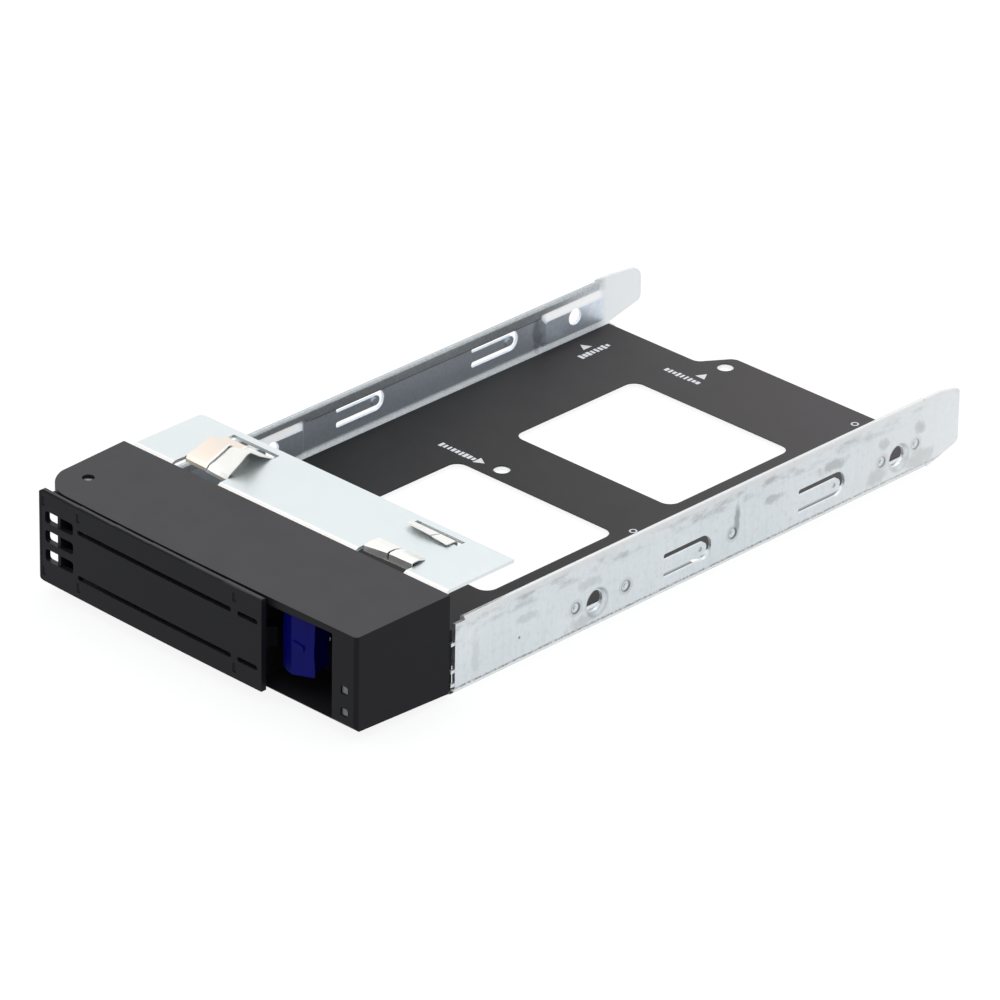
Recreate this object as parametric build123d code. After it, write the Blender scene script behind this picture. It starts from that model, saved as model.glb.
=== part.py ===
from build123d import *
import os
from math import hypot

# A hot-swap hard drive tray: a bent galvanised steel channel that a drive is screwed into,
# a sheet bracket with two sprung contact clips over its front, and a black plastic bezel
# with a swinging lever, a blue release button and two light pipes.
# X runs across the tray, to the right as seen from the front, Y from the front to the rear,
# and Z up. The channel is centred on X = 0 and stands on Z = 0. Lengths are in millimetres.
# Places along Y are first counted from the rear face of the bezel, and keep() then moves
# every piece back so that the middle of the whole tray's length lies on Y = 0.

# Drives that the tray takes
drive_width = 101.6
drive_play = 0.3
side_hole_spacing = 101.6
side_hole_height = 6.0
small_drive_hole_y = 76.6
small_drive_hole_x = 61.72

# Sheet steel channel
sheet = 0.8
bend_outer = 2.5
pad_depth = 0.9
pad_bevel = 1.0
pad_top_bevel = 2.2
pad_length = 22.2
pad_bottom = 1.9
pad_top = 10.85
right_height = 19.0
left_height = 13.1
wall_start = 1.6
hem_height = 3.0
hem_relief = 0.1
hem_start = 4.6
hem_end = 157.0
right_bend_run = 1.6
left_bend_run = 4.0
right_tip_run = 12.3
left_tip_run = 15.5
front_hole_y = 46.9
right_hole_radius = 2.6
left_hole_radius = 2.15
small_hole_radius = 1.75
small_hole_front_y = 86.4
small_hole_left_x = -15.1
rivet_radius = 1.25
rivet_head_radius = 2.2
rivet_clearance = 0.05
rivet_inset = 7.5
rivet_row = 5.0
clinch_places = [(40.0, 7.8), (56.3, 7.4), (91.6, 7.8), (142.4, 7.8), (154.2, 8.3)]
pip_place = (21.9, 7.3)
pip_radius = 0.35
front_tab_heights = [13.3, 6.5, 3.1]

# Windows in the floor, and the black film on it
window_width = 50.3
window_middle_x = -0.2
window_spans = [(40.2, 82.1), (100.8, 142.2)]
window_corner = 3.0
film_thickness = 0.2
film_overhang = 1.0
film_right_x = 44.7
film_front_y = 10.5
floor_rear_left = 160.3
floor_rear_right = 168.0
step_left_x = -22.0
step_right_x = -16.6
step_radius = 2.8

# U-shaped slots that leave sprung tongues in both walls
slot_starts = [68.6, 113.8]
left_slot_length = 15.8
left_slot_height = 7.35
left_slot_radius = 2.7
left_slot_leg = 1.45
right_slot_length = 15.8
right_slot_height = 7.7
right_slot_radius = 3.1
right_slot_leg = 1.65

# Front bracket
bracket_left_x = -48.6
bracket_right_x = 50.6
bracket_front_y = 0.2
bracket_rear_y = 22.0
bracket_top = 26.0
bracket_bend = 1.5
bracket_flange = 8.5
bracket_corner = 1.5
notch_width = 14.8
notch_depth = 5.2
notch_left_x = -35.9
notch_right_x = 22.7
hook_slot_rear = 20.0
hook_slot_width = 2.5

# Sprung contact clips
clip_sheet = 0.25
clip_side_gap = 0.2
clip_split = 0.5
clip_under = 0.2
clip_hook_gap = 0.6

# Bezel
bezel_left = -51.0
bezel_right = 52.4
bezel_bottom = 1.4
bezel_wall = 1.6
bezel_rear_wall = 1.8
bezel_rib = 1.4
bezel_front_y = -28.9
opening_right_x = 44.9
partition_x = 19.0
button_wall_y = -14.0
lift_at_front = 1.2
bezel_front_bevel = 1.1
bezel_corner = 1.0
pipe_recess = 0.45

# Lever
lever_right_x = 25.3
lever_left_x = -47.7
lever_bottom = 3.1
lever_thickness = 1.5
pin_x = -43.4
pin_y = -18.2
pin_radius = 1.4
pin_clearance = 0.05
lug_height = 2.0
lug_radius = 3.2
lever_gap = 0.3
vent_heights = [19.7, 14.9, 10.1]
vent_size = (9.4, 3.0)
vent_left_x = -45.3
long_slot_heights = [19.8, 8.4]
long_slot_span = (-34.4, 15.7)
short_slot_span = (17.7, 24.0)
long_slot_width = 1.2
lever_corner = 1.8
groove_depth = 0.25

# Release button
button_left_x = 27.0
button_right_x = 37.3
button_crease_x = 31.0
button_bottom = 8.1
button_slant = 1.3
button_top = 23.8
button_front_y = -27.4
button_rear_y = -19.5
button_skin = 1.3
nib_height = 0.35
stem_side = 3.0
stem_clearance = 0.15
spring_wire = 0.4
retainer_y = -12.3
retainer_sheet = 0.6

# Light pipes
pipe_width = 2.0
pipe_height = 1.9
pipe_x = 48.65
pipe_heights = [11.75, 6.3]
pipe_clearance = 0.1
pipe_corner = 0.4

# Screws that hold the bezel to the bracket
screw_x = [-30.0, 4.0]
screw_height = 14.0
screw_radius = 1.2
screw_head_radius = 2.3
screw_head_height = 1.4
screw_length = 6.0

# Sizes that follow from those above
bay_width = drive_width + drive_play
half_width = bay_width / 2 + pad_depth + sheet
wall_inner = half_width - sheet
bezel_top = bracket_top
rear_hole_y = front_hole_y + side_hole_spacing
hole_height = sheet + side_hole_height
lever_front_y = bezel_front_y - lever_gap - lever_thickness - 0.3
right_bend_end = hem_end + right_bend_run
left_bend_end = hem_end + left_bend_run
right_tip_end = hem_end + right_tip_run
left_tip_end = hem_end + left_tip_run
middle_y = (left_tip_end + lever_front_y) / 2
button_middle_x = (button_left_x + button_right_x) / 2
button_middle_z = (button_bottom + button_top) / 2
notches = [notch_left_x, notch_right_x]


def block(x0, x1, y0, y1, z0, z1):
    """A box between two corners."""
    return Pos((x0 + x1) / 2, (y0 + y1) / 2, (z0 + z1) / 2) * Box(x1 - x0, y1 - y0, z1 - z0)


def upright(outline, z0, z1):
    """A flat outline in X and Y, raised from z0 to z1."""
    return extrude(Pos(0, 0, z0) * outline, z1 - z0)


def across(outline, x0, x1):
    """An outline drawn in Y and Z, drawn out along X from x0 to x1."""
    return extrude(Plane.YZ.offset(x0) * outline, x1 - x0)


def face_of(points):
    """A closed flat outline with sharp corners."""
    return make_face(Polyline(*points, close=True))


def rounded(points, corners):
    """A closed flat outline in which only the named corners are rounded, each with its radius."""
    face = face_of(points)
    for point, radius in corners:
        face = fillet(face.vertices().sort_by_distance((*point, 0))[:1], radius)
    return face


def rod_x(x0, x1, y, z, radius):
    """A round rod along X."""
    return Pos((x0 + x1) / 2, y, z) * Rot(0, 90, 0) * Cylinder(radius, x1 - x0)


def rod_y(x, y0, y1, z, radius):
    """A round rod along Y."""
    return Pos(x, (y0 + y1) / 2, z) * Rot(90, 0, 0) * Cylinder(radius, y1 - y0)


def rod_z(x, y, z0, z1, radius):
    """A round rod along Z."""
    return Pos(x, y, (z0 + z1) / 2) * Cylinder(radius, z1 - z0)


def bent_channel():
    """Floor and both walls as one bent sheet, as long as the bends run."""
    outer = block(-half_width, half_width, 0.9, left_bend_end, 0, right_height - sheet)
    outer = fillet(outer.edges().filter_by(Axis.Y).group_by(Axis.Z)[0], bend_outer)
    inner = block(-wall_inner, wall_inner, 0, left_bend_end + 1, sheet, right_height + 1)
    inner = fillet(inner.edges().filter_by(Axis.Y).group_by(Axis.Z)[0], bend_outer - sheet)
    channel = outer - inner
    past = left_bend_end + 1
    channel -= block(-half_width - 1, -wall_inner + 1, 0, past, left_height - sheet, right_height + 1)
    channel -= block(wall_inner - bend_outer, half_width + 1, right_bend_end, past, -1, right_height)
    channel -= block(-wall_inner + bend_outer, half_width + 1, floor_rear_left - 1, past, -1, 2 * sheet)
    for side in (-1, 1):
        edges = sorted((side * (wall_inner - 2), side * (half_width + 1)))
        channel -= block(edges[0], edges[1], 0, wall_start, sheet + 0.1, right_height)
    return channel


def hem(side, top):
    """The top edge of one wall, folded flat against its inner face, with a round fold."""
    middle = side * wall_inner
    low = top - hem_height
    leaf = block(middle - sheet, middle + sheet, hem_start, hem_end, low, top - sheet)
    relief = pad_top + hem_relief
    for y_middle in (front_hole_y, rear_hole_y):
        half = pad_length / 2 + 0.5
        inside = sorted((middle, middle - side * 2))
        leaf -= block(inside[0], inside[1], y_middle - half, y_middle + half, pad_bottom, relief)
    leaf -= block(-wall_inner, -wall_inner + 2, 0, front_hole_y, pad_bottom, relief)
    return leaf + rod_y(middle, hem_start, hem_end, top - sheet, sheet)


def rear_floor():
    """The flat end of the floor behind the bends, stepped so that it reaches further on the right."""
    back = 0.2
    points = [
        (-wall_inner + 2, right_bend_end - 2),
        (wall_inner - 2.2, right_bend_end - 2),
        (wall_inner - 2.2, floor_rear_right - back),
        (step_right_x + back, floor_rear_right - back),
        (step_left_x + back, floor_rear_left - back),
        (-wall_inner + 1.5, floor_rear_left - back),
        (-wall_inner + 1.5, right_bend_end - 2),
    ]
    corners = [(points[i], step_radius) for i in (2, 3, 4)]
    return upright(rounded(points, corners), 0, sheet)


def wall_tip(outline, low_radius, high_radius, x0, x1):
    """The flat rear end of a wall, with its two rear corners rounded."""
    corners = [(outline[1], low_radius), (outline[2], high_radius)]
    return across(rounded(outline, corners), x0, x1)


def right_tip():
    """The rear end of the right wall, tapered above and below."""
    outline = [
        (right_bend_end, 0.9),
        (right_tip_end, 3.9),
        (right_tip_end, 17.6),
        (right_tip_end - 7.0, right_height),
        (hem_end - 0.1, right_height),
        (hem_end - 0.1, right_height - 1.6),
        (hem_end - 2, right_height - 1.6),
        (hem_end - 2, 4.0),
        (right_bend_end, 4.0),
    ]
    return wall_tip(outline, 1.5, 1.3, wall_inner, half_width)


def left_tip():
    """The rear end of the left wall, longer than the right one and more rounded above."""
    outline = [
        (left_bend_end, 0.7),
        (left_tip_end, 3.3),
        (left_tip_end, 11.9),
        (left_tip_end - 11.0, left_height),
        (hem_end - 0.1, left_height),
        (hem_end - 0.1, left_height - 1.6),
        (hem_end - 2, left_height - 1.6),
        (hem_end - 2, 4.0),
        (left_bend_end, 4.0),
    ]
    return wall_tip(outline, 1.5, 3.2, -half_width, -wall_inner)


def frustum(x, y_middle, length, low, high):
    """A raised oblong on the plane at x, with bevelled sides, the widest bevel above."""
    sections = []
    foot = (0, 0, high, 1.2)
    crown = (pad_depth, pad_bevel, high - pad_top_bevel, 0.8)
    for depth, narrower, top, radius in (foot, crown):
        bottom = low + narrower
        plane = Plane(origin=(x + depth, y_middle, (bottom + top) / 2), x_dir=(0, 1, 0), z_dir=(1, 0, 0))
        sections.append(plane * RectangleRounded(length - 2 * narrower, top - bottom, radius))
    return loft(sections, ruled=True)


def pad(y_middle):
    """A raised oblong round one left screw hole: what is added inside and what is cut outside."""
    inset = 0.4
    added = frustum(-wall_inner, y_middle, pad_length, pad_bottom, pad_top)
    cut = frustum(-half_width, y_middle, pad_length - 2 * inset, pad_bottom + inset, pad_top - inset)
    return added, cut


def cup(y_middle):
    """A round recess round one right screw hole: what is added inside and what is cut outside."""
    turn = Pos(wall_inner - pad_depth / 2, y_middle, hole_height) * Rot(0, -90, 0)
    added = turn * Cone(4.3, 3.6, pad_depth)
    turn_cut = Pos(half_width - pad_depth / 2, y_middle, hole_height) * Rot(0, -90, 0)
    cut = turn_cut * Cone(3.45, 2.85, pad_depth)
    return added, cut


def tongue_slot(y_start, length, height, outer, leg):
    """A U-shaped slot seen along X, with two legs that end at the front, round at the rear."""
    inner = outer - leg
    round_y = y_start + length - outer
    middle = (y_start + round_y) / 2
    ring = Pos(middle, height) * Rectangle(round_y - y_start, 2 * outer)
    ring += Pos(round_y, height) * Circle(outer)
    tongue = Pos(middle - 1, height) * Rectangle(round_y - y_start + 2, 2 * inner)
    tongue += Pos(round_y, height) * Circle(inner)
    slot = ring - tongue
    return fillet(slot.vertices().group_by(Axis.X)[0], 0.5)


def clinch_mark(y, z):
    """A shallow ring pressed into the outer face of the right wall, with a raised middle."""
    depth = 0.25
    ring = rod_x(half_width - depth, half_width + 1, y, z, 1.3)
    return ring - rod_x(half_width - depth - 1, half_width + 2, y, z, 0.5)


def chassis():
    """The bent steel channel with its hems, pads, slots, windows and holes."""
    body = bent_channel() + rear_floor() + right_tip() + left_tip()
    body += hem(1, right_height) + hem(-1, left_height)
    for y_middle in (front_hole_y, rear_hole_y):
        for added, cut in (pad(y_middle), cup(y_middle)):
            body = body + added - cut
        body -= rod_x(-half_width - 2, -wall_inner + 3, y_middle, hole_height, left_hole_radius)
        body -= rod_x(wall_inner - 3, half_width + 2, y_middle, hole_height, right_hole_radius)
    left_slot = (left_slot_length, left_slot_height, left_slot_radius, left_slot_leg)
    right_slot = (right_slot_length, right_slot_height, right_slot_radius, right_slot_leg)
    for side, (length, height, radius, leg) in ((-1, left_slot), (1, right_slot)):
        through = sorted((side * (half_width + 1), side * (wall_inner - 0.05)))
        inner = sorted((side * wall_inner, side * (wall_inner - 0.4)))
        outer = sorted((side * (half_width - 0.35), side * (half_width + 1)))
        for y_start in slot_starts:
            body -= across(tongue_slot(y_start, length, height, radius, leg), through[0], through[1])
            dimple_y = y_start + length - radius - 0.6
            body += rod_x(inner[0], inner[1], dimple_y, height, 0.9)
            body -= rod_x(outer[0], outer[1], dimple_y, height, 0.6)
    for y, z in clinch_places:
        body -= clinch_mark(y, z)
    body -= rod_x(half_width - 0.4, half_width + 1, pip_place[0], pip_place[1], pip_radius)
    for height in front_tab_heights:
        body += block(wall_inner + 0.1, half_width - 0.1, 0.4, wall_start + 0.2, height - 0.4, height + 0.4)
    for low, high in window_spans:
        width = window_width + 2 * film_overhang
        length = high - low + 2 * film_overhang
        shape = Pos(window_middle_x, (low + high) / 2) * RectangleRounded(width, length, window_corner)
        body -= upright(shape, -1, sheet + 1)
    for x in (small_hole_left_x, small_hole_left_x + small_drive_hole_x):
        for y in (small_hole_front_y, small_hole_front_y + small_drive_hole_y):
            body -= rod_z(x, y, -1, sheet + 1, small_hole_radius)
    for x, y in rivet_places():
        body -= rod_z(x, y, -1, sheet + 1, rivet_radius + rivet_clearance)
    return body


def rivet_places():
    """Where the bracket's flange is riveted to the floor, evenly spaced across it."""
    first = bracket_left_x + rivet_inset
    last = bracket_right_x - rivet_inset
    return [(first + (last - first) * i / 3, bracket_front_y + rivet_row) for i in range(4)]


def insulation_film():
    """The black film on the floor, with the same two windows and a hole over each small screw."""
    film_left_x = -wall_inner + 0.95
    points = [
        (film_left_x, film_front_y),
        (film_right_x, film_front_y),
        (film_right_x, floor_rear_right),
        (step_right_x, floor_rear_right),
        (step_left_x, floor_rear_left),
        (film_left_x, floor_rear_left),
    ]
    corners = [(points[i], step_radius) for i in (1, 2, 3, 4)]
    film = upright(rounded(points, corners), sheet, sheet + film_thickness) - bent_channel()
    for low, high in window_spans:
        outline = RectangleRounded(window_width, high - low, window_corner)
        film -= upright(Pos(window_middle_x, (low + high) / 2) * outline, 0, sheet + 1)
    for y in (small_hole_front_y, small_hole_front_y + small_drive_hole_y):
        film -= rod_z(small_hole_left_x, y, 0, sheet + 1, small_hole_radius + 0.3)
    return film


def front_bracket():
    """Flange on the floor, front wall and top plate, bent from one sheet."""
    outer = block(bracket_left_x, bracket_right_x, bracket_front_y, bracket_rear_y, sheet, bracket_top)
    outer = fillet(outer.edges().filter_by(Axis.X).group_by(Axis.Y)[0], bracket_bend)
    inner = block(bracket_left_x - 1, bracket_right_x + 1, bracket_front_y + sheet, bracket_rear_y + 1,
                  2 * sheet, bracket_top - sheet)
    inner = fillet(inner.edges().filter_by(Axis.X).group_by(Axis.Y)[0], bracket_bend - sheet)
    body = outer - inner
    body -= block(bracket_left_x - 1, bracket_right_x + 1, bracket_flange, bracket_rear_y + 1, 0, 3 * sheet)
    beside_bend = wall_inner - bend_outer + sheet - 0.2
    body -= block(beside_bend, half_width, -1, bracket_flange + 1, 0, bend_outer + 0.3)
    left_corner = body.edges().filter_by(Axis.Z).group_by(Axis.Y)[-1].sort_by(Axis.X)[:1]
    body = fillet(left_corner, bracket_corner)
    below_bend = bracket_top - bracket_bend - 0.7
    for x in notches:
        body -= block(x, x + notch_width, -1, bracket_front_y + notch_depth, below_bend, bracket_top + 1)
        body -= block(x, x + notch_width, hook_slot_rear - hook_slot_width, hook_slot_rear,
                      bracket_top - 2, bracket_top + 1)
    for x in screw_x:
        body -= rod_y(x, -1, 3, screw_height, screw_radius + 0.2)
    for x, y in rivet_places():
        body -= rod_z(x, y, 0, 3 * sheet, rivet_radius + rivet_clearance)
    return body


def rivet(x, y):
    """A rivet, flush under the floor, with a low round head on the bracket's flange."""
    shank = rod_z(x, y, 0.1, 2 * sheet, rivet_radius)
    head = rod_z(x, y, 2 * sheet, 2 * sheet + 0.7, rivet_head_radius)
    head = fillet(head.edges().group_by(Axis.Z)[-1], 0.5)
    return shank + head


def ribbon(points):
    """A line in Y and Z with the clip's thickness below it, measured square to its run."""
    under = []
    for i, (y, z) in enumerate(points):
        before = points[max(i - 1, 0)]
        after = points[min(i + 1, len(points) - 1)]
        ahead, climb = after[0] - before[0], after[1] - before[1]
        share = clip_sheet / hypot(ahead, climb)
        under.append((y + climb * share, z - ahead * share))
    return face_of(points + under[::-1])


def finger(x0, left_points, x1, right_points):
    """A thin bent finger whose side view changes evenly from its left edge to its right one."""
    left = Plane.YZ.offset(x0) * ribbon(left_points)
    right = Plane.YZ.offset(x1) * ribbon(right_points)
    return loft([left, right], ruled=True)


def clip(x_start, sides):
    """A sprung clip: a base under the plate, and two fingers that hook up through the notch.

    For each finger, sides holds its left and right edge as lines in Y and Z, given from the
    bracket's front face and the plate's top, and whether it ends down in the slot behind.
    """
    x0 = x_start + clip_side_gap
    x1 = x_start + notch_width - clip_side_gap
    split = (x0 + x1) / 2
    base_top = bracket_top - sheet - clip_under
    back = hook_slot_rear - hook_slot_width + clip_hook_gap
    spans = [(x0, split - clip_split / 2), (split + clip_split / 2, x1)]
    base = [(x1, back + 0.2), (x0, back + 0.2)]
    for span, (left, right, hooked) in zip(spans, sides):
        base += [(x, bracket_front_y + edge[0][0]) for x, edge in zip(span, (left, right))]
    body = upright(face_of(base), base_top - clip_sheet, base_top)
    for (low, high), (left, right, hooked) in zip(spans, sides):
        edges = []
        for points in (left, right):
            start = bracket_front_y + points[0][0]
            line = [(start, base_top - 0.1), (start, bracket_top - 0.4)]
            line += [(bracket_front_y + y, bracket_top + z) for y, z in points[1:]]
            if hooked:
                line += [(back - 0.5, bracket_top + 0.3), (back, bracket_top - 0.3), (back, base_top - 0.1)]
            edges.append(line)
        body += finger(low, edges[0], high, edges[1])
    return body


def clip_left():
    """The left clip, whose two fingers stand up as twisted arches, the right one higher."""
    low_left = [(4.4, 0), (5.1, 0.35), (7.2, 0.8), (9.7, 1.6), (12.3, 2.35), (13.0, 2.3), (14.9, 0.45)]
    low_right = [(4.2, 0), (5.0, 0.45), (7.2, 1.2), (9.7, 2.1), (11.3, 2.8), (12.0, 2.75), (14.5, 0.45)]
    high_left = [(4.0, 0), (4.8, 0.35), (6.4, 0.75), (9.4, 1.75), (11.2, 2.55), (12.0, 2.45), (15.2, 0.8)]
    high_right = [(3.5, 0), (4.0, 0.6), (5.0, 1.15), (7.6, 2.6), (9.8, 4.0), (11.0, 4.05), (13.9, 2.1)]
    return clip(notch_left_x, [(low_left, low_right, True), (high_left, high_right, True)])


def clip_right():
    """The right clip, pressed flat: low fingers in front and a torn tab folded out of its slot."""
    low_left = [(2.6, 0), (2.7, 0.05), (3.3, 0.35), (5.2, 0.5), (7.5, 0.3)]
    low_right = [(2.9, 0), (3.0, 0.65), (3.6, 0.9), (5.2, 0.85), (7.5, 0.3)]
    high_left = [(3.0, 0), (3.1, 0.6), (3.7, 0.85), (5.3, 0.85), (7.5, 0.3)]
    high_right = [(3.1, 0), (3.2, 0.7), (3.9, 0.95), (5.5, 0.9), (7.5, 0.3)]
    body = clip(notch_right_x, [(low_left, low_right, False), (high_left, high_right, False)])
    x0 = notch_right_x + clip_side_gap
    x1 = notch_right_x + notch_width - clip_side_gap
    tear = notch_right_x + 0.58 * notch_width
    back = hook_slot_rear - 2 * clip_hook_gap
    base_top = bracket_top - sheet - clip_under
    low = base_top - clip_sheet
    body += block(x0, x1, back - hook_slot_width, back + clip_sheet, low, base_top)
    edges = []
    for rise in (1.3, 0.95, 0.8, 0.4):
        line = [(back, low + 0.05), (back, bracket_top - 0.2)]
        line += [(back - 0.4, bracket_top + 0.08 + 0.1 * rise), (back - 3.3, bracket_top + rise)]
        edges.append(line)
    body += finger(x0, edges[0], tear - 0.1, edges[1])
    body += finger(tear + 0.1, edges[2], x1 - 1.2, edges[3])
    return body


def bezel_plan():
    """The bezel seen from above: rounded where the lever swings, slightly drawn in to the front."""
    front = bezel_front_y
    line = Polyline((bezel_left, 0), (bezel_left + 1.0, -20.2))
    corner = ThreePointArc(line @ 1, (-46.9, -25.2), (-41.0, front + 0.9))
    lip = ThreePointArc(corner @ 1, (-12.0, front + 0.2), (lever_right_x, front))
    radius = bezel_corner
    rest = Polyline(lip @ 1, (bezel_right - 0.1 - radius, front + 0.2))
    turn = ThreePointArc(rest @ 1, (bezel_right - 0.1 - 0.3 * radius, front + 0.2 + 0.3 * radius),
                         (bezel_right - 0.1, front + 0.2 + radius))
    side = Polyline(turn @ 1, (bezel_right, 0), (bezel_left, 0))
    return make_face([line, corner, lip, rest, turn, side])


def bezel_housing():
    """The bezel's shell with its pocket for the button, screw bosses and light pipe channels."""
    inside_low = bezel_bottom + bezel_wall + 0.2
    inside_high = bezel_top - bezel_wall
    body = upright(bezel_plan(), bezel_bottom, bezel_top)
    turn_y = bezel_front_y + bezel_front_bevel
    turn_z = bezel_bottom + lift_at_front
    wedge = face_of([(1, bezel_bottom - 2), (1, bezel_bottom), (0, bezel_bottom), (turn_y, turn_z),
                     (turn_y - 5, turn_z + 5), (turn_y - 5, bezel_bottom - 2)])
    body -= across(wedge, bezel_left - 1, bezel_right + 1)
    body -= block(bezel_left + bezel_wall, opening_right_x, -40, -bezel_rear_wall, inside_low, inside_high)
    body -= block(bezel_left - 1, bezel_left + 6, -40, pin_y - 0.6, inside_low, inside_high)
    body -= block(opening_right_x + bezel_rib, bezel_right - bezel_wall, bezel_front_y + 2.0, 1,
                  inside_low, inside_high)
    body += block(partition_x, partition_x + bezel_rib, bezel_front_y + 1.0, -1,
                  inside_low - 0.1, inside_high + 0.1)
    body += block(partition_x + 1, opening_right_x + 0.1, button_wall_y, button_wall_y + 1.6,
                  inside_low - 0.1, inside_high + 0.1)
    hole = stem_side / 2 + stem_clearance
    body -= block(button_middle_x - hole, button_middle_x + hole, button_wall_y - 1, button_wall_y + 3,
                  button_middle_z - hole, button_middle_z + hole)
    body += block(opening_right_x + 1, bezel_right - 1, -3.6, -2.0, inside_low - 0.1, inside_high + 0.1)
    lip = face_of([(partition_x + 0.5, inside_high + 0.1), (partition_x + 0.5, inside_high - 0.9),
                   (opening_right_x + 0.1, inside_high), (opening_right_x + 0.1, inside_high + 0.1)])
    body += extrude(Plane.XZ.offset(-bezel_front_y - 1.0) * lip, 0.7)
    for height in pipe_heights:
        body -= pipe_shape(height, pipe_clearance, -40, 1)
    for x in screw_x:
        body += rod_y(x, -9.0, -0.5, screw_height, 3.0)
        body += block(x - 0.6, x + 0.6, -8.0, -1, inside_low - 0.1, inside_high + 0.1)
        body -= rod_y(x, -8.0, 1, screw_height, screw_radius + 0.05)
    body -= rod_z(pin_x, pin_y, bezel_bottom + 0.9, bezel_top + 1, pin_radius + pin_clearance)
    return body


def lever_curve(shift, start_x, end_x):
    """A long shallow arc that the lever's front follows, moved back by the given amount."""
    front = lever_front_y + shift
    return ThreePointArc((start_x, front + 1.3), (-12.0, front + 0.42), (end_x, front))


def lever():
    """The swinging front lever with vents, finger slots, ribs, hinge lugs and its catch."""
    outer = lever_curve(0, lever_left_x + 1.2, lever_right_x)
    inner = lever_curve(lever_thickness, lever_left_x + 1.2, lever_right_x)
    end = ThreePointArc(outer @ 0, (lever_left_x, lever_front_y + 2.1), inner @ 0)
    close = Line(outer @ 1, inner @ 1)
    body = upright(make_face([outer, close, inner, end]), lever_bottom, bezel_top)
    corners = body.edges().filter_by(Axis.Z, reverse=True).group_by(Axis.Z)
    body = fillet(corners[-1], 0.4)
    front = [(lever_left_x, lever_bottom), (lever_right_x + 1, lever_bottom),
             (lever_right_x + 1, bezel_top), (lever_left_x, bezel_top)]
    front = rounded(front, [(front[0], lever_corner), (front[3], lever_corner)])
    body &= extrude(Plane.XZ.offset(20) * front, 20)
    lug_low = lever_bottom + 0.4
    lug_high = bezel_top - bezel_wall - 0.35
    arm = face_of([(lever_left_x + 1.0, lever_front_y + 2.2), (-38.5, lever_front_y + 1.5),
                   (pin_x + lug_radius, pin_y), (pin_x - lug_radius, pin_y)])
    arm += Pos(pin_x, pin_y) * Circle(lug_radius)
    for z0, z1 in ((lug_low, lug_low + lug_height), (lug_high - lug_height, lug_high)):
        body += upright(arm, z0, z1)
    back = lever_front_y + lever_thickness
    for z0, z1 in ((lug_low + 0.3, lug_low + 1.5), (lug_high - 1.5, lug_high - 0.3)):
        ribs = face_of([(-39.5, back + 0.5), (0, back - 0.1), (18.0, back - 0.5),
                        (18.0, back + 2.0), (0, back + 2.4), (-39.5, back + 3.0)])
        body += upright(ribs, z0, z1)
    body += block(21.9, 23.5, back - 0.3, back + 4.6, 12.0, 17.0)
    body += block(23.3, 24.4, back + 3.4, back + 4.6, 12.0, 17.0)
    body -= rod_z(pin_x, pin_y, 0, 30, pin_radius + pin_clearance)
    width, height = vent_size
    for z in vent_heights:
        hole = Pos(vent_left_x + width / 2, z) * RectangleRounded(width, height, 0.8)
        body -= extrude(Plane.XZ.offset(20) * hole, 20)
    for z in long_slot_heights:
        for x0, x1 in (long_slot_span, short_slot_span):
            hole = Pos((x0 + x1) / 2, z) * SlotOverall(x1 - x0, long_slot_width)
            body -= extrude(Plane.XZ.offset(28) * hole, 10)
    for x in (-45.9, -34.3, 16.7):
        for z0, z1 in ((22.2, 24.4), (4.6, 6.9)):
            bottom_y = lever_front_y + groove_depth + groove_shift(x)
            body -= rod_groove(x, bottom_y, z0, z1)
    return body


def rod_groove(x, bottom_y, z0, z1):
    """A shallow round-bottomed upright groove whose deepest line lies at bottom_y."""
    radius = 0.8
    return rod_z(x, bottom_y - radius, z0, z1, radius)


def groove_shift(x):
    """How far the lever's front lies behind its foremost line at x, close enough for a groove."""
    return 1.3 * ((lever_right_x - x) / (lever_right_x - lever_left_x)) ** 1.6


def lever_pin():
    """The hinge pin, standing a little below the bezel's top face."""
    pin = rod_z(pin_x, pin_y, bezel_bottom + 1.0, bezel_top - 0.7, pin_radius)
    return chamfer(pin.edges().group_by(Axis.Z)[-1], 0.2)


def coil(radius, wire, pitch, turns):
    """A round wire coil that rises along Z from zero."""
    path = Helix(pitch, pitch * turns, radius)
    return sweep(Plane(origin=path @ 0, z_dir=path % 0) * Circle(wire / 2), path, is_frenet=True)


def lever_spring():
    """The coil of the torsion spring round the hinge pin, standing on the lever's lower lug."""
    radius = pin_radius + pin_clearance + spring_wire / 2 + 0.05
    low = lever_bottom + 0.4 + lug_height + spring_wire / 2 + 0.05
    return Pos(pin_x, pin_y, low) * coil(radius, spring_wire, 0.6, 6)


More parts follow.
